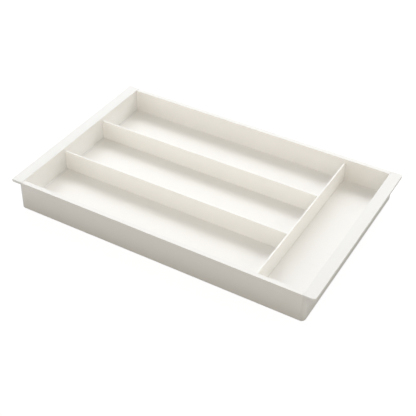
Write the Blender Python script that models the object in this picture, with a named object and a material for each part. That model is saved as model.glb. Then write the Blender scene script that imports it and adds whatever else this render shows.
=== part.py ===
"""Drawer organizer insert: a shallow compartment tray that hangs in a drawer by two end flanges.

A hollow plastic trough (floor, front wall and back wall) is closed by two moulded end pieces, and
three loose dividers stand in it. Metres, +Z up, +X along the tray's length, -Y at its front. The
origin is under the middle of the tray, on the plane that it rests on.
"""
import math

import bmesh
import bpy
from mathutils import Matrix, Vector

# Driving dimensions.
LENGTH = 0.340              # over both flanges
DEPTH = 0.215               # front outer face to back outer face
HEIGHT = 0.0332             # resting plane to the top of the flanges
GAP = 0.0003                # clearance between pieces that touch

# Trough.
WALL = 0.0050               # front and back wall
RIM_STEP = 0.0004           # how far the wall tops lie below the flange tops
FLOOR_TOP = 0.0065          # resting plane to the floor of the compartments
FLOOR_FILLET = 0.0006       # where the floor meets the front and back wall
BOTTOM_RADIUS = 0.0015      # outer lower edges
SKIN = 0.0010               # skin round the hollow chambers
WEB = 0.0011                # web between two chambers
FLOOR_CHAMBERS = 8
WALL_CHAMBERS = 2

# End pieces.
FLANGE_WIDTH = 0.0124       # outer edge to the inner face of the end wall
FLANGE_THICKNESS = 0.0030
LEFT_FLANGE_RADIUS = 0.0010     # flange corners in plan
RIGHT_FLANGE_RADIUS = 0.0030
END_WALL = 0.0040
CORNER_RADIUS = 0.0045      # upright corners of the tray
FOOT_WIDTH = 0.0030         # foot of the end wall, let into the floor
FOOT_HEIGHT = 0.0008
PLUG_LENGTH = 0.010         # tongues that go into the trough's chambers

# Dividers.
DIVIDER = 0.0016            # thickness
DIVIDER_DROP = 0.0038       # divider tops below the wall tops
CROSS_FACE = 0.2788         # left flange edge to the right face of the cross divider
GROOVE_DEPTH = 0.0010       # floor grooves that the dividers stand in
GROOVE_SIDE = 0.0003        # clearance on each side of a divider in its groove
END_CLEARANCE = 0.0003      # divider end to wall
DIVIDER_CORNER = 0.0016     # rounded upper corners of the dividers
RIB = 0.0010                # guide ribs on the cross divider
RIB_REACH = 0.0030
RIB_DROP = 0.0030           # rib tops below the divider top
EDGE = 0.0005               # rounding of the wall tops

# Derived places.
LEFT = -LENGTH / 2
RIGHT = LENGTH / 2
FRONT = -DEPTH / 2
BACK = DEPTH / 2
RIM_TOP = HEIGHT - RIM_STEP
INNER_LEFT = LEFT + FLANGE_WIDTH
INNER_RIGHT = RIGHT - FLANGE_WIDTH
INNER_FRONT = FRONT + WALL
INNER_BACK = BACK - WALL
DIVIDER_TOP = RIM_TOP - DIVIDER_DROP
DIVIDER_BOTTOM = FLOOR_TOP - GROOVE_DEPTH + GAP
CROSS_RIGHT = LEFT + CROSS_FACE
CROSS_LEFT = CROSS_RIGHT - DIVIDER
ROW_DEPTH = (INNER_BACK - INNER_FRONT - 2 * DIVIDER) / 3
FRONT_ROW_Y = INNER_FRONT + ROW_DEPTH + DIVIDER / 2
REAR_ROW_Y = INNER_BACK - ROW_DEPTH - DIVIDER / 2

WHITE = (0.86, 0.855, 0.83, 1.0)
ARC_STEPS = 5


# ---------------------------------------------------------------- scene

def clear_scene():
    for item in list(bpy.data.objects):
        bpy.data.objects.remove(item, do_unlink=True)


def new_collection(name):
    collection = bpy.data.collections.new(name)
    bpy.context.scene.collection.children.link(collection)
    return collection


def plastic(name, colour, roughness):
    """A moulded or extruded white plastic."""
    material = bpy.data.materials.new(name)
    material.use_nodes = True
    shader = material.node_tree.nodes["Principled BSDF"]
    shader.inputs["Base Color"].default_value = colour
    shader.inputs["Roughness"].default_value = roughness
    shader.inputs["Metallic"].default_value = 0.0
    return material


# ---------------------------------------------------------------- shapes

def mesh_object(name, bm, collection):
    mesh = bpy.data.meshes.new(name)
    bm.to_mesh(mesh)
    bm.free()
    item = bpy.data.objects.new(name, mesh)
    collection.objects.link(item)
    return item


def block(name, low, high, collection):
    """An axis-aligned box between two corners."""
    low = Vector(low)
    high = Vector(high)
    bm = bmesh.new()
    bmesh.ops.create_cube(bm, size=1.0)
    bmesh.ops.scale(bm, vec=high - low, verts=bm.verts)
    bmesh.ops.translate(bm, vec=(low + high) / 2, verts=bm.verts)
    return mesh_object(name, bm, collection)


def arc(centre, radius, start, stop, steps=ARC_STEPS):
    """Points on an arc, with the angles in degrees."""
    points = []
    for step in range(steps + 1):
        angle = math.radians(start + (stop - start) * step / steps)
        points.append((centre[0] + radius * math.cos(angle), centre[1] + radius * math.sin(angle)))
    return points


def rectangle(low_x, low_y, high_x, high_y):
    return [(low_x, low_y), (high_x, low_y), (high_x, high_y), (low_x, high_y)]


def extrusion(name, outlines, thickness, matrix, collection):
    """A flat outline with its holes, extruded to both sides of its plane, as a welded mesh."""
    curve = bpy.data.curves.new(name, "CURVE")
    curve.dimensions = "2D"
    curve.fill_mode = "BOTH"
    curve.extrude = thickness / 2
    for outline in outlines:
        spline = curve.splines.new("POLY")
        spline.points.add(len(outline) - 1)
        for point, (x, y) in zip(spline.points, outline):
            point.co = (x, y, 0.0, 1.0)
        spline.use_cyclic_u = True
    source = bpy.data.objects.new(name + "_outline", curve)
    collection.objects.link(source)
    source.matrix_world = matrix
    bpy.context.view_layer.update()
    evaluated = source.evaluated_get(bpy.context.evaluated_depsgraph_get())
    mesh = bpy.data.meshes.new_from_object(evaluated)
    mesh.name = name
    bm = bmesh.new()
    bm.from_mesh(mesh)
    bmesh.ops.remove_doubles(bm, verts=bm.verts, dist=0.00001)
    bmesh.ops.recalc_face_normals(bm, faces=bm.faces)
    bmesh.ops.dissolve_limit(bm, angle_limit=0.01, verts=bm.verts, edges=bm.edges)
    bm.to_mesh(mesh)
    bm.free()
    item = bpy.data.objects.new(name, mesh)
    item.matrix_world = matrix.copy()
    collection.objects.link(item)
    bpy.data.objects.remove(source, do_unlink=True)
    bpy.data.curves.remove(curve)
    return item


def combine(item, others, operation, solver="EXACT"):
    """Boolean of an object with helper shapes, which stay in the cutters' collection."""
    for other in others:
        other.hide_render = True
        other.display_type = "WIRE"
        modifier = item.modifiers.new(operation.lower() + "_" + other.name, "BOOLEAN")
        modifier.operation = operation
        modifier.solver = solver
        modifier.object = other


def finish(item, material):
    item.data.materials.clear()
    item.data.materials.append(material)
    item.data.shade_smooth()
    item.data.set_sharp_from_angle(angle=math.radians(30))


# Local x, y and z of an outline, sent to the tray's own axes.
ACROSS = Matrix(((0, 0, 1, 0), (1, 0, 0, 0), (0, 1, 0, 0), (0, 0, 0, 1)))   # outline in the YZ plane
ALONG = Matrix(((1, 0, 0, 0), (0, 0, -1, 0), (0, 1, 0, 0), (0, 0, 0, 1)))   # outline in the XZ plane


# ---------------------------------------------------------------- chambers

def floor_chambers():
    """Low and high corner, in the YZ plane, of each hollow in the floor."""
    start = FRONT + BOTTOM_RADIUS + SKIN
    pitch = (BACK - FRONT - 2 * (BOTTOM_RADIUS + SKIN) + WEB) / FLOOR_CHAMBERS
    top = FLOOR_TOP - GROOVE_DEPTH - SKIN * 0.7
    cells = []
    for index in range(FLOOR_CHAMBERS):
        low = start + index * pitch
        cells.append(((low, SKIN), (low + pitch - WEB, top)))
    return cells


def wall_chambers(outer, inner):
    """Low and high corner, in the YZ plane, of each hollow in the front or back wall."""
    low_y = min(outer, inner) + SKIN
    high_y = max(outer, inner) - SKIN
    start = FLOOR_TOP + WEB
    pitch = (RIM_TOP - SKIN - start + WEB) / WALL_CHAMBERS
    cells = []
    for index in range(WALL_CHAMBERS):
        low = start + index * pitch
        cells.append(((low_y, low), (high_y, low + pitch - WEB)))
    return cells


def all_chambers():
    cells = floor_chambers()
    cells += wall_chambers(FRONT, INNER_FRONT)
    cells += wall_chambers(BACK, INNER_BACK)
    return cells


# ---------------------------------------------------------------- trough

def trough_outline():
    """Section of the trough: floor, front wall and back wall."""
    radius = BOTTOM_RADIUS
    fillet = FLOOR_FILLET
    points = arc((FRONT + radius, radius), radius, 180, 270)
    points += arc((BACK - radius, radius), radius, 270, 360)
    points += arc((BACK - EDGE, RIM_TOP - EDGE), EDGE, 0, 90, 3)
    points += arc((INNER_BACK + EDGE, RIM_TOP - EDGE), EDGE, 90, 180, 3)
    points += arc((INNER_BACK - fillet, FLOOR_TOP + fillet), fillet, 360, 270, 3)
    points += arc((INNER_FRONT + fillet, FLOOR_TOP + fillet), fillet, 270, 180, 3)
    points += arc((INNER_FRONT - EDGE, RIM_TOP - EDGE), EDGE, 0, 90, 3)
    points += arc((FRONT + EDGE, RIM_TOP - EDGE), EDGE, 90, 180, 3)
    return points


def groove(name, low_x, low_y, high_x, high_y, cutters):
    low = (low_x, low_y, FLOOR_TOP - GROOVE_DEPTH)
    high = (high_x, high_y, FLOOR_TOP + GROOVE_DEPTH)
    return block(name, low, high, cutters)


def foot_recess(name, inner, side, cutters):
    """The shallow step in the floor that an end piece's foot fills."""
    reach = inner - side * (FOOT_WIDTH + GAP)
    beyond = inner + side * GAP
    edge = FLOOR_FILLET + GAP
    low = (min(reach, beyond), INNER_FRONT + edge, FLOOR_TOP - FOOT_HEIGHT - GAP)
    high = (max(reach, beyond), INNER_BACK - edge, FLOOR_TOP + FOOT_HEIGHT)
    return block(name, low, high, cutters)


def make_trough(parts, cutters, material):
    outlines = [trough_outline()]
    for low, high in all_chambers():
        outlines.append(rectangle(low[0], low[1], high[0], high[1]))
    length = INNER_RIGHT - INNER_LEFT - 2 * GAP
    trough = extrusion("trough", outlines, length, ACROSS, parts)
    half = DIVIDER / 2 + GROOVE_SIDE
    end = FLOOR_FILLET + GAP
    cuts = [foot_recess("left_foot_recess", INNER_LEFT, -1, cutters)]
    cuts.append(foot_recess("right_foot_recess", INNER_RIGHT, 1, cutters))
    cross = (CROSS_LEFT - GROOVE_SIDE, INNER_FRONT + end, CROSS_RIGHT + GROOVE_SIDE, INNER_BACK - end)
    cuts.append(groove("cross_groove", *cross, cutters))
    start = INNER_LEFT + FOOT_WIDTH
    for name, row in (("front_groove", FRONT_ROW_Y), ("rear_groove", REAR_ROW_Y)):
        cuts.append(groove(name, start, row - half, CROSS_LEFT, row + half, cutters))
    combine(trough, cuts, "DIFFERENCE", "MANIFOLD")
    finish(trough, material)
    return trough


# ---------------------------------------------------------------- end pieces

def rounded_body(name, low, high, collection):
    """A box with round upright corners and a round lower edge."""
    item = block(name, low, high, collection)
    bm = bmesh.new()
    bm.from_mesh(item.data)
    upright = [e for e in bm.edges if abs(e.verts[0].co.z - e.verts[1].co.z) > (high[2] - low[2]) / 2]
    bmesh.ops.bevel(bm, geom=upright, offset=CORNER_RADIUS, segments=8, profile=0.5, affect="EDGES")
    lower = [e for e in bm.edges if max(v.co.z for v in e.verts) < low[2] + GAP]
    bmesh.ops.bevel(bm, geom=lower, offset=BOTTOM_RADIUS, segments=5, profile=0.5, affect="EDGES")
    bm.to_mesh(item.data)
    bm.free()
    return item


def keep_side(item, x, sign):
    """Cuts a closed mesh at an upright plane and keeps the part on one side, closed again."""
    bm = bmesh.new()
    bm.from_mesh(item.data)
    geometry = bm.verts[:] + bm.edges[:] + bm.faces[:]
    bmesh.ops.bisect_plane(
        bm, geom=geometry, dist=0.000001, plane_co=(x, 0, 0), plane_no=(sign, 0, 0), clear_outer=True
    )
    rim = [e for e in bm.edges if e.is_boundary]
    bmesh.ops.contextual_create(bm, geom=rim)
    bmesh.ops.recalc_face_normals(bm, faces=bm.faces)
    bm.to_mesh(item.data)
    bm.free()


def flange(name, outer, inner, side, collection):
    """The flat hanging flange, with its two outer corners rounded in plan."""
    radius = LEFT_FLANGE_RADIUS if side < 0 else RIGHT_FLANGE_RADIUS
    if side < 0:
        points = arc((outer + radius, FRONT + radius), radius, 270, 180)
        points += arc((outer + radius, BACK - radius), radius, 180, 90)
    else:
        points = arc((outer - radius, FRONT + radius), radius, 270, 360)
        points += arc((outer - radius, BACK - radius), radius, 0, 90)
    points += [(inner, BACK), (inner, FRONT)]
    place = Matrix.Translation((0, 0, HEIGHT - FLANGE_THICKNESS / 2))
    return extrusion(name, [points], FLANGE_THICKNESS, place, collection)


def make_end(name, side, parts, cutters, material):
    """One end piece; side is -1 at the left and 1 at the right."""
    outer = side * LENGTH / 2
    inner = side * (LENGTH / 2 - FLANGE_WIDTH)
    face = inner + side * END_WALL
    low = (-abs(face), FRONT, 0.0)
    high = (abs(face), BACK, HEIGHT - FLANGE_THICKNESS / 2)
    end = rounded_body(name, low, high, parts)
    keep_side(end, inner, -side)
    extras = [flange(name + "_flange", outer, inner, side, cutters)]
    reach = inner - side * FOOT_WIDTH
    root = inner + side * END_WALL / 2
    edge = FLOOR_FILLET + 2 * GAP
    foot_low = (min(reach, root), INNER_FRONT + edge, FLOOR_TOP - FOOT_HEIGHT)
    foot_high = (max(reach, root), INNER_BACK - edge, FLOOR_TOP)
    extras.append(block(name + "_foot", foot_low, foot_high, cutters))
    tip = inner - side * PLUG_LENGTH
    for index, (cell_low, cell_high) in enumerate(floor_chambers()):
        plug_low = (min(tip, root), cell_low[0] + GAP, cell_low[1] + GAP)
        plug_high = (max(tip, root), cell_high[0] - GAP, cell_high[1] - GAP)
        extras.append(block("%s_plug_%d" % (name, index + 1), plug_low, plug_high, cutters))
    combine(end, extras, "UNION")
    finish(end, material)
    return end


# ---------------------------------------------------------------- dividers

def divider_outline(start, end, notch_start, notch_end, notch_top, round_start, round_end):
    """Side outline of a divider: a plate whose lower edge is set back at both ends."""
    radius = DIVIDER_CORNER
    points = [(start + notch_start, DIVIDER_BOTTOM), (end - notch_end, DIVIDER_BOTTOM)]
    points += [(end - notch_end, notch_top), (end, notch_top)]
    if round_end:
        points += arc((end - radius, DIVIDER_TOP - radius), radius, 0, 90)
    else:
        points.append((end, DIVIDER_TOP))
    if round_start:
        points += arc((start + radius, DIVIDER_TOP - radius), radius, 90, 180)
    else:
        points.append((start, DIVIDER_TOP))
    points += [(start, notch_top), (start + notch_start, notch_top)]
    return points


def set_origin(item, point):
    """Moves an object's origin onto its lifting axis without moving the piece."""
    mesh = item.data
    mesh.transform(Matrix.Translation(-Vector(point)) @ item.matrix_world)
    item.matrix_world = Matrix.Translation(point)


def make_cross_divider(parts, cutters, material):
    start = INNER_FRONT + END_CLEARANCE
    end = INNER_BACK - END_CLEARANCE
    notch = FLOOR_FILLET + GAP
    outline = divider_outline(start, end, notch, notch, FLOOR_TOP + notch, True, True)
    middle = (CROSS_LEFT + CROSS_RIGHT) / 2
    place = Matrix.Translation((middle, 0, 0)) @ ACROSS
    divider = extrusion("cross_divider", [outline], DIVIDER, place, parts)
    set_origin(divider, (middle, 0, DIVIDER_BOTTOM))
    ribs = []
    for row_name, row in (("front", FRONT_ROW_Y), ("rear", REAR_ROW_Y)):
        for side_name, side in (("near", -1), ("far", 1)):
            inner = row + side * (DIVIDER / 2 + GAP)
            outer = inner + side * RIB
            low = (CROSS_LEFT - RIB_REACH, min(inner, outer), FLOOR_TOP + 2 * GAP)
            high = (middle, max(inner, outer), DIVIDER_TOP - RIB_DROP)
            ribs.append(block("%s_%s_rib" % (row_name, side_name), low, high, cutters))
    combine(divider, ribs, "UNION", "MANIFOLD")
    finish(divider, material)
    return divider


def make_long_divider(name, row, parts, material):
    start = INNER_LEFT + END_CLEARANCE
    end = CROSS_LEFT - GAP
    notch = FOOT_WIDTH + GAP
    notch_top = FLOOR_TOP + GAP
    outline = divider_outline(start, end, notch, GAP, notch_top, True, False)
    place = Matrix.Translation((0, row, 0)) @ ALONG
    divider = extrusion(name, [outline], DIVIDER, place, parts)
    set_origin(divider, ((start + end) / 2, row, DIVIDER_BOTTOM))
    finish(divider, material)
    return divider


# ---------------------------------------------------------------- build

def main():
    clear_scene()
    parts = new_collection("drawer_organizer_insert")
    cutters = new_collection("helper_shapes")
    make_trough(parts, cutters, plastic("trough_plastic", WHITE, 0.5))
    for name, side in (("left_end", -1), ("right_end", 1)):
        make_end(name, side, parts, cutters, plastic(name + "_plastic", WHITE, 0.45))
    make_cross_divider(parts, cutters, plastic("cross_divider_plastic", WHITE, 0.45))
    for name, row in (("front_divider", FRONT_ROW_Y), ("rear_divider", REAR_ROW_Y)):
        make_long_divider(name, row, parts, plastic(name + "_plastic", WHITE, 0.45))


main()
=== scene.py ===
"""Looks of the drawer organizer insert: a white plastic tray with two hanging flanges and loose dividers."""
import math

import bmesh
import bpy
from mathutils import Matrix, Vector


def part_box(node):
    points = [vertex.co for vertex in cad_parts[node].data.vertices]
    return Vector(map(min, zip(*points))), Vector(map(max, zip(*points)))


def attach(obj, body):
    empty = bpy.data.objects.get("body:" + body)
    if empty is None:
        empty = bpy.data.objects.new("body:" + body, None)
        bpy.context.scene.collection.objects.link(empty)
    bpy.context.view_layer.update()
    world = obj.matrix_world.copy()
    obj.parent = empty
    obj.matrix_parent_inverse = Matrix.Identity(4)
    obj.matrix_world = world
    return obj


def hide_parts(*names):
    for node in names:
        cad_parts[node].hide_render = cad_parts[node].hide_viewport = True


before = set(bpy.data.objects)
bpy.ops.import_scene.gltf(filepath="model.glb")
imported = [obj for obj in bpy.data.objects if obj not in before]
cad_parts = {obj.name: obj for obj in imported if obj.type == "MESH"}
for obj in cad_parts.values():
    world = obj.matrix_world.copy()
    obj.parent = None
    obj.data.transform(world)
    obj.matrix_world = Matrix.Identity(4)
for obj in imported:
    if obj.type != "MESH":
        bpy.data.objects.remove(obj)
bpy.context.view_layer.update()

# Places, all from the parts in model.glb, in metres. -X is the left end and -Y the front.
TRAY_LOW, TRAY_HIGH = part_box("trough")
LEFT_LOW, LEFT_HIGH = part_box("left_end")
RIGHT_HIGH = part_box("right_end")[1]
CROSS_LOW, CROSS_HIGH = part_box("cross_divider")

FRONT = TRAY_LOW.y
BACK = TRAY_HIGH.y
RIM_TOP = TRAY_HIGH.z
FLANGE_TOP = LEFT_HIGH.z

# Sizes that the boxes don't give, in metres.
GAP = 0.0003                 # clearance between pieces, and how far a cutter stands proud
SEAM = 0.00001               # gap where two pieces are pressed together
RIM_SEAM = 0.00018           # open line across the rims, where a flange meets them
RIM_SEAM_DEPTH = 0.0008

WALL = 0.0050
FLOOR_TOP = 0.0065
FLOOR_FILLET = 0.0006
BOTTOM_RADIUS = 0.0015
RIM_ROUND = 0.0002

FLANGE_WIDTH = 0.0124
FLANGE_THICKNESS = 0.0030
FLANGE_EDGE = 0.0004
SIDE_EDGE_SHARE = 0.5        # how much of that rounding the short sides get underneath
FLANGE_FILLET = 0.0008
LEFT_FLANGE_RADIUS = 0.0010
RIGHT_FLANGE_RADIUS = 0.0030
END_WALL = 0.0040
CORNER_RADIUS = 0.0045
FOOT_WIDTH = 0.0030
FOOT_HEIGHT = 0.0008
FOOT_ROUND = 0.00001

DIVIDER = 0.0016             # a divider's thickness
DIVIDER_ROUND = 0.00015
DIVIDER_CORNER = 0.0016
GROOVE_DEPTH = 0.0010
GROOVE_SIDE = 0.0001         # clearance on each side of a divider in its groove
RIB = 0.0010
RIB_REACH = 0.0030
RIB_DROP = 0.0030
RIB_ROUND = 0.00025

INNER_LEFT = LEFT_LOW.x + FLANGE_WIDTH
INNER_RIGHT = RIGHT_HIGH.x - FLANGE_WIDTH
INNER_FRONT = FRONT + WALL
INNER_BACK = BACK - WALL
CROSS_RIGHT = CROSS_HIGH.x
CROSS_LEFT = CROSS_RIGHT - DIVIDER
DIVIDER_TOP = CROSS_HIGH.z
DIVIDER_BOTTOM = CROSS_LOW.z
LONG_DIVIDERS = ("front_divider", "rear_divider")


def row_of(name):
    """The y of a long divider's middle plane."""
    low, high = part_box(name)
    return (low.y + high.y) / 2


# ---------------------------------------------------------------- camera, light and floor

CAMERA_PLACE = (0.3667, -0.6515, 0.5895)
CAMERA_AZIMUTH = 29.40       # degrees to the right of the front
CAMERA_ELEVATION = 38.62
CAMERA_ROLL = 1.17
CAMERA_LENS = 78.40

# Tints of the studio lights.
NEUTRAL = (1.0, 1.0, 1.0)
PALE_BLUE = (0.95, 0.97, 1.0)
BLUE = (0.80, 0.87, 1.0)
IVORY = (1.0, 0.99, 0.95)
WARM = (1.0, 0.94, 0.81)
AMBER = (1.0, 0.88, 0.70)

WORLD_STRENGTH = 0.36
LIGHT_DISTANCE = 2.0
LIGHTS = (
    # name, azimuth, elevation, width, height, power, colour
    ("key", 112, 51, 2.2, 0.5, 21.0, PALE_BLUE),
    ("fill_back", 70, 34, 1.6, 0.5, 3.2, NEUTRAL),
    ("fill_back_left", 128, 33, 1.8, 0.5, 5.5, BLUE),
    ("fill_right", 8, 25, 1.7, 1.7, 11.0, WARM),
    ("fill_left", 218, 28, 1.7, 1.7, 8.5, IVORY),
    ("fill_front", 285, 20, 1.7, 1.7, 8.0, AMBER),
)

FLOOR_REACH = 6.0
FLOOR_GLOW = 0.92
FLOOR_GREY = (0.14, 0.14, 0.14)
CARD_GREY = (0.42, 0.43, 0.445)
SHADE_GREY = (0.03, 0.03, 0.03)
SHADE_REACH = 0.020          # how far the shade lies in front of the tray
SHEET_STEP = 0.0001          # the sheets lie this far under the tray and each other
SHEET_ROUGHNESS = 0.9


def make_camera():
    data = bpy.data.cameras.new("camera")
    data.lens = CAMERA_LENS
    data.sensor_width = 36.0
    data.clip_start = 0.01
    camera = bpy.data.objects.new("camera", data)
    bpy.context.scene.collection.objects.link(camera)
    turn = Matrix.Rotation(math.radians(CAMERA_AZIMUTH), 4, "Z")
    tilt = Matrix.Rotation(math.radians(90 - CAMERA_ELEVATION), 4, "X")
    roll = Matrix.Rotation(math.radians(CAMERA_ROLL), 4, "Z")
    camera.matrix_world = Matrix.Translation(CAMERA_PLACE) @ turn @ tilt @ roll
    bpy.context.scene.camera = camera


def soft_light(name, azimuth, elevation, width, height, power, colour):
    """A rectangular soft light that faces the tray; azimuth 0 is +X and 90 the back."""
    data = bpy.data.lights.new(name, "AREA")
    data.shape = "RECTANGLE"
    data.size = width
    data.size_y = height
    data.energy = power
    data.color = colour
    light = bpy.data.objects.new(name, data)
    bpy.context.scene.collection.objects.link(light)
    turn = math.radians(azimuth)
    rise = math.radians(elevation)
    away = Vector((math.cos(turn) * math.cos(rise), math.sin(turn) * math.cos(rise), math.sin(rise)))
    light.location = away * LIGHT_DISTANCE
    light.rotation_euler = (-away).to_track_quat("-Z", "Y").to_euler()


def make_world():
    world = bpy.data.worlds.new("studio")
    world.use_nodes = True
    background = world.node_tree.nodes["Background"]
    background.inputs["Color"].default_value = (*IVORY, 1.0)
    background.inputs["Strength"].default_value = WORLD_STRENGTH
    bpy.context.scene.world = world


def flat_sheet(name, low, high, z, grey):
    """A level paper sheet between two corners, given as (x, y); returns it and its shader."""
    bm = bmesh.new()
    corners = ((low[0], low[1]), (high[0], low[1]), (high[0], high[1]), (low[0], high[1]))
    bm.faces.new([bm.verts.new((x, y, 0.0)) for x, y in corners])
    mesh = bpy.data.meshes.new(name)
    bm.to_mesh(mesh)
    bm.free()
    sheet = bpy.data.objects.new(name, mesh)
    sheet.location = (0.0, 0.0, z)
    bpy.context.scene.collection.objects.link(sheet)
    material = bpy.data.materials.new(name + "_paper")
    material.use_nodes = True
    mesh.materials.append(material)
    shader = material.node_tree.nodes["Principled BSDF"]
    shader.inputs["Base Color"].default_value = (*grey, 1.0)
    shader.inputs["Roughness"].default_value = SHEET_ROUGHNESS
    return sheet, shader


def make_floor():
    """A pale sheet that the camera sees, and what the light meets instead of it.

    A grey card throws the light back up, and a dark one close to the front stands for the shade
    that the tray throws on the table.
    """
    low = (-FLOOR_REACH, -FLOOR_REACH)
    high = (FLOOR_REACH, FLOOR_REACH)
    floor, shader = flat_sheet("floor", low, high, -SHEET_STEP, FLOOR_GREY)
    shader.inputs["Specular IOR Level"].default_value = 0.0
    shader.inputs["Emission Color"].default_value = (1.0, 1.0, 1.0, 1.0)
    shader.inputs["Emission Strength"].default_value = FLOOR_GLOW
    floor.visible_diffuse = False
    floor.visible_glossy = False
    floor.visible_transmission = False
    floor.visible_shadow = False
    card = flat_sheet("floor_card", low, high, -3 * SHEET_STEP, CARD_GREY)[0]
    card.visible_camera = False
    low = (LEFT_LOW.x, FRONT - SHADE_REACH)
    high = (RIGHT_HIGH.x, BACK)
    shade = flat_sheet("shade_card", low, high, -2 * SHEET_STEP, SHADE_GREY)[0]
    shade.visible_camera = False


# ---------------------------------------------------------------- materials

TROUGH_WHITE = (0.922, 0.905, 0.877)
# Painted shade: the end pieces' white is set darker than the trough's, so that their flange tops come out
# dimmer.
END_WHITE = (0.875, 0.87, 0.857)
# Painted light: the dividers' white is set brighter than the trough's, for light that shines through the
# thin dividers from behind.
DIVIDER_WHITE = (0.975, 0.96, 0.93)

# Roughness, then the strength of the grain's bump, then its scale: one for each axis of an extruded
# piece, low along its lines. Scales are in noise cells per metre.
TROUGH_ROUGHNESS = 0.45
END_ROUGHNESS = 0.55
DIVIDER_ROUGHNESS = 0.42
EXTRUDED_GRAIN = 0.08
MOULDED_GRAIN = 0.25
LINES_ALONG_X = (12.0, 1500.0, 1500.0)
LINES_ALONG_Y = (1500.0, 12.0, 1500.0)
MOULDED_GRAIN_SCALE = 2600.0
GRAIN_HEIGHT = 0.0001

PLASTIC_IOR = 1.49
CLOUD_SCALE = 38.0
CLOUD_DARK = 0.985
CLOUD_BRIGHT = 1.01
SCUFF_SCALE = (55.0, 160.0, 90.0)
SCUFF_START = 0.62           # noise level where scuffs begin
SCUFF_FULL = 0.74
SCUFF_COVER = 0.5
SCUFF_DARK = 0.955
SCUFF_ROUGHNESS = 0.15
GLOSS_SCALE = 120.0
GLOSS_SWING = 0.06
# Painted shade: a tint that darkens the top edges a little, so that they don't come out too bright.
TOP_EDGE_SHADE_TINT = (0.967, 0.972, 0.982)
EDGE_SHADE_START = 0.0003           # depth under the top edge where the painted shade begins
EDGE_SHADE_FULL = 0.0001


def node(tree, kind, **settings):
    made = tree.nodes.new(kind)
    for key, value in settings.items():
        setattr(made, key, value)
    return made


def noise(tree, place, scale, detail, seed):
    """A noise texture; scale is one number, or one for each axis."""
    texture = node(tree, "ShaderNodeTexNoise", noise_dimensions="4D")
    texture.inputs["W"].default_value = seed
    texture.inputs["Detail"].default_value = detail
    if isinstance(scale, float):
        texture.inputs["Scale"].default_value = scale
        tree.links.new(place, texture.inputs["Vector"])
    else:
        stretch = node(tree, "ShaderNodeMapping")
        stretch.inputs["Scale"].default_value = scale
        texture.inputs["Scale"].default_value = 1.0
        tree.links.new(place, stretch.inputs["Vector"])
        tree.links.new(stretch.outputs["Vector"], texture.inputs["Vector"])
    return texture.outputs["Fac"]


def remap(tree, value, low, high, start, stop):
    """Maps low..high to start..stop."""
    made = node(tree, "ShaderNodeMapRange")
    made.inputs["From Min"].default_value = low
    made.inputs["From Max"].default_value = high
    made.inputs["To Min"].default_value = start
    made.inputs["To Max"].default_value = stop
    tree.links.new(value, made.inputs["Value"])
    return made.outputs["Result"]


def times(colour, factor):
    return [min(1.0, channel * factor) for channel in colour] + [1.0]


def paint_top_edge_shade(tree, place, colour, top):
    """Paints shade: darkens a colour at the height of the top edge, so that the edge doesn't come out too
    bright.
    """
    height = node(tree, "ShaderNodeSeparateXYZ")
    tree.links.new(place, height.inputs["Vector"])
    near_top = remap(tree, height.outputs["Z"], top - EDGE_SHADE_START, top - EDGE_SHADE_FULL, 0.0, 1.0)
    shaded_edge = node(tree, "ShaderNodeMix", data_type="RGBA", blend_type="MULTIPLY")
    shaded_edge.inputs["B"].default_value = (*TOP_EDGE_SHADE_TINT, 1.0)
    tree.links.new(near_top, shaded_edge.inputs["Factor"])
    tree.links.new(colour, shaded_edge.inputs["A"])
    return shaded_edge.outputs["Result"]


def plastic(name, colour, roughness, grain_scale, grain, seed, top=None):
    """Satin plastic, with cloudy colour, uneven gloss, a fine grain, scuffs and painted shade along the top
    edge.

    top is the height of the top edge that gets the painted shade, if the piece has one.
    """
    material = bpy.data.materials.new(name)
    material.use_nodes = True
    tree = material.node_tree
    shader = tree.nodes["Principled BSDF"]
    shader.inputs["IOR"].default_value = PLASTIC_IOR
    place = node(tree, "ShaderNodeTexCoord").outputs["Object"]

    cloud = node(tree, "ShaderNodeMix", data_type="RGBA")
    cloud.inputs["A"].default_value = times(colour, CLOUD_DARK)
    cloud.inputs["B"].default_value = times(colour, CLOUD_BRIGHT)
    tree.links.new(noise(tree, place, CLOUD_SCALE, 3.0, seed), cloud.inputs["Factor"])
    scratches = noise(tree, place, SCUFF_SCALE, 6.0, seed + 3.0)
    scuffs = remap(tree, scratches, SCUFF_START, SCUFF_FULL, 0.0, 1.0)
    worn = node(tree, "ShaderNodeMix", data_type="RGBA")
    worn.inputs["B"].default_value = times(colour, SCUFF_DARK)
    tree.links.new(remap(tree, scuffs, 0.0, 1.0, 0.0, SCUFF_COVER), worn.inputs["Factor"])
    tree.links.new(cloud.outputs["Result"], worn.inputs["A"])
    tone = worn.outputs["Result"]
    # painted shade along the top edge
    if top is not None:
        tone = paint_top_edge_shade(tree, place, tone, top)
    tree.links.new(tone, shader.inputs["Base Color"])

    patches = noise(tree, place, GLOSS_SCALE, 4.0, seed + 5.0)
    uneven = remap(tree, patches, 0.0, 1.0, roughness - GLOSS_SWING, roughness + GLOSS_SWING)
    gloss = node(tree, "ShaderNodeMath", operation="MULTIPLY_ADD")
    gloss.inputs[1].default_value = SCUFF_ROUGHNESS
    tree.links.new(scuffs, gloss.inputs[0])
    tree.links.new(uneven, gloss.inputs[2])
    tree.links.new(gloss.outputs["Value"], shader.inputs["Roughness"])

    bump = node(tree, "ShaderNodeBump")
    bump.inputs["Strength"].default_value = grain
    bump.inputs["Distance"].default_value = GRAIN_HEIGHT
    tree.links.new(noise(tree, place, grain_scale, 2.0, seed + 7.0), bump.inputs["Height"])
    tree.links.new(bump.outputs["Normal"], shader.inputs["Normal"])
    return material


# ---------------------------------------------------------------- shapes

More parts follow.
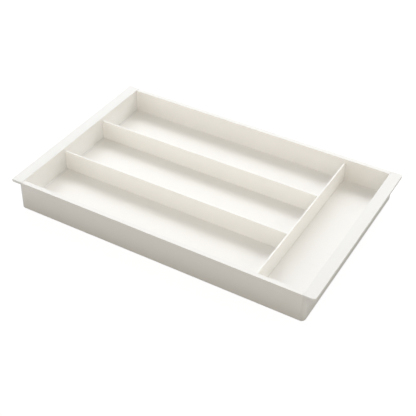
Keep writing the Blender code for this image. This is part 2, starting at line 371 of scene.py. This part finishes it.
BEVEL_STEPS = 3
WELD = 0.000005              # points of a plate closer than this are one
FLAT = 0.000001              # a plate's point this close to its face is on it
SHARP_ANGLE = 35             # degrees between faces, past which an edge is shaded sharp
ACROSS = Matrix(((0, 0, 1, 0), (1, 0, 0, 0), (0, 1, 0, 0), (0, 0, 0, 1)))   # outline in the YZ plane
ALONG = Matrix(((1, 0, 0, 0), (0, 0, -1, 0), (0, 1, 0, 0), (0, 0, 0, 1)))   # outline in the XZ plane


def arc(centre, radius, start, stop, steps):
    """Points on an arc, with the angles in degrees."""
    points = []
    for step in range(steps + 1):
        angle = math.radians(start + (stop - start) * step / steps)
        points.append((centre[0] + radius * math.cos(angle), centre[1] + radius * math.sin(angle)))
    return points


def mesh_piece(name, bm):
    bmesh.ops.recalc_face_normals(bm, faces=bm.faces)
    mesh = bpy.data.meshes.new(name)
    bm.to_mesh(mesh)
    bm.free()
    piece = bpy.data.objects.new(name, mesh)
    bpy.context.scene.collection.objects.link(piece)
    return piece


def loft(name, rings):
    """A closed skin through rings that have the same number of points each."""
    bm = bmesh.new()
    made = [[bm.verts.new(point) for point in ring] for ring in rings]
    count = len(rings[0])
    for lower, upper in zip(made, made[1:]):
        for index in range(count):
            after = (index + 1) % count
            bm.faces.new((lower[index], lower[after], upper[after], upper[index]))
    bm.faces.new(made[0])
    bm.faces.new(made[-1])
    return mesh_piece(name, bm)


def block(name, corner, opposite, rounding=0.0):
    """A box between two opposite corners, with rounded edges if asked."""
    low = Vector([min(pair) for pair in zip(corner, opposite)])
    high = Vector([max(pair) for pair in zip(corner, opposite)])
    bm = bmesh.new()
    bmesh.ops.create_cube(bm, size=1.0)
    bmesh.ops.scale(bm, vec=high - low, verts=bm.verts)
    bmesh.ops.translate(bm, vec=(low + high) / 2, verts=bm.verts)
    if rounding:
        bmesh.ops.bevel(
            bm, geom=bm.edges[:], offset=rounding, segments=BEVEL_STEPS, profile=0.5, affect="EDGES"
        )
    return mesh_piece(name, bm)


def apply_modifiers(piece):
    bpy.context.view_layer.update()
    evaluated = piece.evaluated_get(bpy.context.evaluated_depsgraph_get())
    mesh = bpy.data.meshes.new_from_object(evaluated)
    mesh.name = piece.data.name
    piece.modifiers.clear()
    piece.data = mesh


def boolean(piece, helpers, operation):
    """Applies a Boolean with each helper and removes the helpers."""
    for helper in helpers:
        modifier = piece.modifiers.new("boolean", "BOOLEAN")
        modifier.operation = operation
        modifier.solver = "EXACT"
        modifier.object = helper
    apply_modifiers(piece)
    for helper in helpers:
        bpy.data.objects.remove(helper, do_unlink=True)


def plate(name, outline, thickness, rounding, matrix):
    """A flat plate with a rounded edge all round its outline."""
    curve = bpy.data.curves.new(name, "CURVE")
    curve.dimensions = "2D"
    curve.fill_mode = "BOTH"
    curve.extrude = thickness / 2 - rounding
    curve.bevel_depth = rounding
    curve.bevel_resolution = BEVEL_STEPS
    curve.offset = -rounding
    spline = curve.splines.new("POLY")
    spline.points.add(len(outline) - 1)
    for point, (x, y) in zip(spline.points, outline):
        point.co = (x, y, 0.0, 1.0)
    spline.use_cyclic_u = True
    source = bpy.data.objects.new(name + "_outline", curve)
    bpy.context.scene.collection.objects.link(source)
    bpy.context.view_layer.update()
    evaluated = source.evaluated_get(bpy.context.evaluated_depsgraph_get())
    bm = bmesh.new()
    bm.from_mesh(bpy.data.meshes.new_from_object(evaluated))
    bpy.data.objects.remove(source, do_unlink=True)
    bpy.data.curves.remove(curve)

    bmesh.ops.remove_doubles(bm, verts=bm.verts, dist=WELD)
    flat = [face for face in bm.faces if all(abs(abs(v.co.z) - thickness / 2) < FLAT for v in face.verts)]
    bmesh.ops.dissolve_faces(bm, faces=flat)
    bmesh.ops.transform(bm, matrix=matrix, verts=bm.verts)
    return mesh_piece(name, bm)


def finish_piece(piece, material, cad_node, body):
    piece.data.materials.clear()
    piece.data.materials.append(material)
    piece.data.shade_smooth()
    piece.data.set_sharp_from_angle(angle=math.radians(SHARP_ANGLE))
    weighted = piece.modifiers.new("flat_faces_stay_flat", "WEIGHTED_NORMAL")
    weighted.keep_sharp = True
    apply_modifiers(piece)
    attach(piece, body)
    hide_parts(cad_node)


# ---------------------------------------------------------------- trough

BOTTOM_STEPS = 8
EDGE_STEPS = 4


def trough_section():
    """Points of the section, as (y, z), round the floor and both walls."""
    edge = RIM_ROUND
    fillet = FLOOR_FILLET
    radius = BOTTOM_RADIUS
    points = arc((FRONT + radius, radius), radius, 180, 270, BOTTOM_STEPS)
    points += arc((BACK - radius, radius), radius, 270, 360, BOTTOM_STEPS)
    points += arc((BACK - edge, RIM_TOP - edge), edge, 0, 90, EDGE_STEPS)
    points += arc((INNER_BACK + edge, RIM_TOP - edge), edge, 90, 180, EDGE_STEPS)
    points += arc((INNER_BACK - fillet, FLOOR_TOP + fillet), fillet, 360, 270, EDGE_STEPS)
    points += arc((INNER_FRONT + fillet, FLOOR_TOP + fillet), fillet, 270, 180, EDGE_STEPS)
    points += arc((INNER_FRONT - edge, RIM_TOP - edge), edge, 0, 90, EDGE_STEPS)
    points += arc((FRONT + edge, RIM_TOP - edge), edge, 90, 180, EDGE_STEPS)
    return points


def trough_cuts():
    """Cutters for the divider grooves, the recesses for the end pieces' feet and the rim seams."""
    groove_bottom = FLOOR_TOP - GROOVE_DEPTH
    above = FLOOR_TOP + GROOVE_DEPTH
    half = DIVIDER / 2 + GROOVE_SIDE
    front = INNER_FRONT + FLOOR_FILLET + SEAM
    back = INNER_BACK - FLOOR_FILLET - SEAM
    start = (CROSS_LEFT - GROOVE_SIDE, front, groove_bottom)
    stop = (CROSS_RIGHT + GROOVE_SIDE, back, above)
    cuts = [block("cross_groove", start, stop)]
    for inner, side in ((INNER_LEFT, -1), (INNER_RIGHT, 1)):
        start = (inner - side * (FOOT_WIDTH + SEAM), front, FLOOR_TOP - FOOT_HEIGHT - SEAM)
        cuts.append(block("foot_recess", start, (inner, back, above)))
        start = (inner - side * RIM_SEAM, FRONT - GAP, RIM_TOP - RIM_SEAM_DEPTH)
        cuts.append(block("rim_seam", start, (inner, BACK + GAP, RIM_TOP + GAP)))
    for name in LONG_DIVIDERS:
        row = row_of(name)
        start = (INNER_LEFT + FOOT_WIDTH, row - half, groove_bottom)
        cuts.append(block(name + "_groove", start, (CROSS_LEFT, row + half, above)))
    return cuts


def make_trough(material):
    section = trough_section()
    ends = (INNER_LEFT + SEAM, INNER_RIGHT - SEAM)
    trough = loft("trough_shell", [[(x, y, z) for y, z in section] for x in ends])
    boolean(trough, trough_cuts(), "DIFFERENCE")
    finish_piece(trough, material, "trough", "tray")


# ---------------------------------------------------------------- end pieces

CORNER_STEPS = 8
QUARTER_STEPS = 6
QUARTER_TURN = [math.radians(90 * step / QUARTER_STEPS) for step in range(QUARTER_STEPS + 1)]


def end_ring(z, inner, side, reach, inset, radius, inner_inset):
    """A D-shaped ring: straight along the opening, with two rounded outer corners.

    reach is how far the ring stands out from the inner face, inset how far its ends stay behind the
    tray's front and back, and inner_inset how far the straight side stays behind the inner face.
    Where the ring is narrower than its corners' radius, the straight side cuts the corners' arcs short,
    and one more step on each arc keeps the number of points the same.
    """
    straight = abs(inner + side * inner_inset)
    outer = abs(inner) + reach
    front = FRONT + inset
    back = BACK - inset
    cut_off = max(0.0, straight - (outer - radius))
    start = math.degrees(math.asin(cut_off / radius))
    steps = CORNER_STEPS + 1 if cut_off else CORNER_STEPS
    points = arc((outer - radius, front + radius), radius, start - 90, 0, steps)
    points += arc((outer - radius, back - radius), radius, 0, 90 - start, steps)
    if not cut_off:
        points = [(straight, front)] + points + [(straight, back)]
    return [(side * x, y, z) for x, y in points]


def end_rings(inner, side, corner):
    """Rings from the bottom of the end wall to the top of the flange."""
    underside = FLANGE_TOP - FLANGE_THICKNESS
    rings = []
    for angle in QUARTER_TURN:
        inset = BOTTOM_RADIUS * (1 - math.sin(angle))
        z = BOTTOM_RADIUS * (1 - math.cos(angle))
        rings.append(end_ring(z, inner, side, END_WALL - inset, inset, CORNER_RADIUS - inset, 0.0))
    for angle in QUARTER_TURN[:-1]:
        grow = FLANGE_FILLET * (1 - math.cos(angle))
        z = underside - FLANGE_FILLET * (1 - math.sin(angle))
        rings.append(end_ring(z, inner, side, END_WALL + grow, 0.0, CORNER_RADIUS + grow, 0.0))
    for angle in QUARTER_TURN:
        inset = FLANGE_EDGE * (1 - math.sin(angle))
        z = underside + FLANGE_EDGE * (1 - math.cos(angle))
        side_inset = inset * SIDE_EDGE_SHARE
        rings.append(end_ring(z, inner, side, FLANGE_WIDTH - inset, side_inset, corner - inset, 0.0))
    for angle in QUARTER_TURN:
        inset = FLANGE_EDGE * (1 - math.cos(angle))
        z = FLANGE_TOP - FLANGE_EDGE * (1 - math.sin(angle))
        rings.append(end_ring(z, inner, side, FLANGE_WIDTH - inset, inset, corner - inset, inset))
    return rings


def make_end(name, inner, side, corner, material):
    """An end piece; side is -1 for the left one, and corner is the radius of its flange's corners."""
    end = loft(name + "_cap", end_rings(inner, side, corner))
    edge = FLOOR_FILLET + 2 * SEAM
    tip = (inner - side * FOOT_WIDTH, INNER_FRONT + edge, FLOOR_TOP - FOOT_HEIGHT)
    root = (inner + side * END_WALL / 2, INNER_BACK - edge, FLOOR_TOP)
    boolean(end, [block(name + "_foot", tip, root, FOOT_ROUND)], "UNION")
    finish_piece(end, material, name, "tray")


# ---------------------------------------------------------------- dividers

DIVIDER_CORNER_STEPS = 6


def divider_outline(start, end, start_notch, end_notch, notch_top):
    """A divider's outline, as (distance, z), with its bottom notched at the ends.

    An end with no notch butts on another divider and is square at the top; any other is rounded.
    """
    radius = DIVIDER_CORNER
    points = [(start + start_notch, DIVIDER_BOTTOM), (end - end_notch, DIVIDER_BOTTOM)]
    if end_notch:
        points += [(end - end_notch, notch_top), (end, notch_top)]
        points += arc((end - radius, DIVIDER_TOP - radius), radius, 0, 90, DIVIDER_CORNER_STEPS)
    else:
        points.append((end, DIVIDER_TOP))
    points += arc((start + radius, DIVIDER_TOP - radius), radius, 90, 180, DIVIDER_CORNER_STEPS)
    points += [(start, notch_top), (start + start_notch, notch_top)]
    return points


def make_cross_divider(material):
    """The cross divider, with a pair of ribs that guides each long divider's end."""
    notch = FLOOR_FILLET + SEAM
    outline = divider_outline(INNER_FRONT + SEAM, INNER_BACK - SEAM, notch, notch, FLOOR_TOP + notch)
    middle = (CROSS_LEFT + CROSS_RIGHT) / 2
    place = Matrix.Translation((middle, 0, 0)) @ ACROSS
    divider = plate("cross_divider_plate", outline, DIVIDER, DIVIDER_ROUND, place)
    ribs = []
    for name in LONG_DIVIDERS:
        for side in (-1, 1):
            near = row_of(name) + side * (DIVIDER / 2 + GAP)
            bottom = (CROSS_LEFT - RIB_REACH, near, FLOOR_TOP + 2 * GAP)
            top = (middle, near + side * RIB, DIVIDER_TOP - RIB_DROP)
            ribs.append(block(name + "_rib", bottom, top, RIB_ROUND))
    boolean(divider, ribs, "UNION")
    finish_piece(divider, material, "cross_divider", "cross_divider_body")


def make_long_divider(name, material):
    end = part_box(name)[1].x
    notch = FOOT_WIDTH + 2 * SEAM
    outline = divider_outline(INNER_LEFT + SEAM, end, notch, 0.0, FLOOR_TOP + SEAM)
    place = Matrix.Translation((0, row_of(name), 0)) @ ALONG
    divider = plate(name + "_plate", outline, DIVIDER, DIVIDER_ROUND, place)
    finish_piece(divider, material, name, name + "_body")


# ---------------------------------------------------------------- scene

make_camera()
make_world()
for light in LIGHTS:
    soft_light(*light)
make_floor()

look = plastic(
    "trough_white", TROUGH_WHITE, TROUGH_ROUGHNESS, LINES_ALONG_X, EXTRUDED_GRAIN, 1.0, RIM_TOP
)
make_trough(look)

for end_name, inner_side, direction, flange_radius, end_seed in (
    ("left_end", INNER_LEFT, -1, LEFT_FLANGE_RADIUS, 1.0),
    ("right_end", INNER_RIGHT, 1, RIGHT_FLANGE_RADIUS, 3.0),
):
    look = plastic(
        end_name + "_white", END_WHITE, END_ROUGHNESS, MOULDED_GRAIN_SCALE, MOULDED_GRAIN, end_seed
    )
    make_end(end_name, inner_side, direction, flange_radius, look)

look = plastic(
    "cross_divider_white", DIVIDER_WHITE, DIVIDER_ROUGHNESS, LINES_ALONG_Y, EXTRUDED_GRAIN, 4.0, DIVIDER_TOP
)
make_cross_divider(look)

for divider_name in LONG_DIVIDERS:
    look = plastic(
        divider_name + "_white", DIVIDER_WHITE, DIVIDER_ROUGHNESS, LINES_ALONG_X, EXTRUDED_GRAIN, 5.0,
        DIVIDER_TOP,
    )
    make_long_divider(divider_name, look)

bpy.context.scene.view_settings.view_transform = "Standard"
